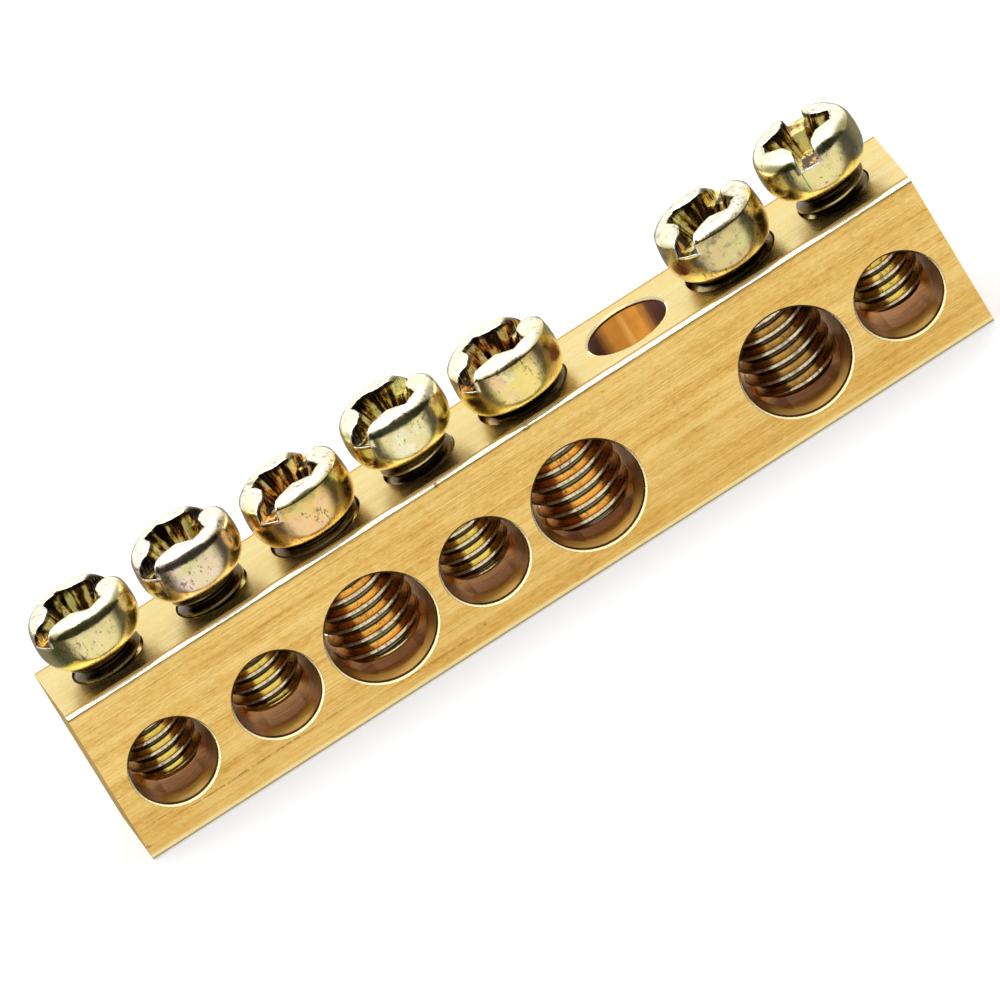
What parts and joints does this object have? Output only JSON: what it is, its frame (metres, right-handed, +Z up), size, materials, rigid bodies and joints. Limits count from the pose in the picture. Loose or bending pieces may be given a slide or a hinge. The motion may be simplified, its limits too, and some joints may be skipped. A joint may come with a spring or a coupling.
{
  "type": "terminal busbar",
  "caption": "Brass terminal bar with round wire holes across it, a clamping screw with a slot-and-cross head over each, and a plain fixing hole.",
  "frame": {"origin": "middle of the flat lower face that the bar stands on", "axes": "+X along the bar, -Y out of the face that the wires enter, +Z up, out along the screws"},
  "size_m": [0.0488, 0.0066, 0.013],
  "materials": {
    "brass": "drawn and bright, lightly scratched",
    "passivated_steel": "zinc plated, yellow passivated"
  },
  "bodies": {
    "bar": {"busbar": "brass"},
    "screw_1": {"terminal_screw_1": "passivated_steel"},
    "screw_2": {"terminal_screw_2": "passivated_steel"},
    "screw_3": {"terminal_screw_3": "passivated_steel"},
    "screw_4": {"terminal_screw_4": "passivated_steel"},
    "screw_5": {"terminal_screw_5": "passivated_steel"},
    "screw_6": {"terminal_screw_6": "passivated_steel"},
    "screw_7": {"terminal_screw_7": "passivated_steel"}
  },
  "joints": [
    {"name": "screw_1_travel", "type": "slide", "parent": "bar", "child": "screw_1", "axis": [0, 0, 1], "range_m": [-0.0005, 0.0035]},
    {"name": "screw_2_travel", "type": "slide", "parent": "bar", "child": "screw_2", "axis": [0, 0, 1], "range_m": [-0.00062, 0.0035]},
    {"name": "screw_3_travel", "type": "slide", "parent": "bar", "child": "screw_3", "axis": [0, 0, 1], "range_m": [-0.00043, 0.0048]},
    {"name": "screw_4_travel", "type": "slide", "parent": "bar", "child": "screw_4", "axis": [0, 0, 1], "range_m": [-0.00056, 0.0035]},
    {"name": "screw_5_travel", "type": "slide", "parent": "bar", "child": "screw_5", "axis": [0, 0, 1], "range_m": [-0.00035, 0.0048]},
    {"name": "screw_6_travel", "type": "slide", "parent": "bar", "child": "screw_6", "axis": [0, 0, 1], "range_m": [-0.0004, 0.0048]},
    {"name": "screw_7_travel", "type": "slide", "parent": "bar", "child": "screw_7", "axis": [0, 0, 1], "range_m": [-0.0007, 0.0035]}
  ]
}
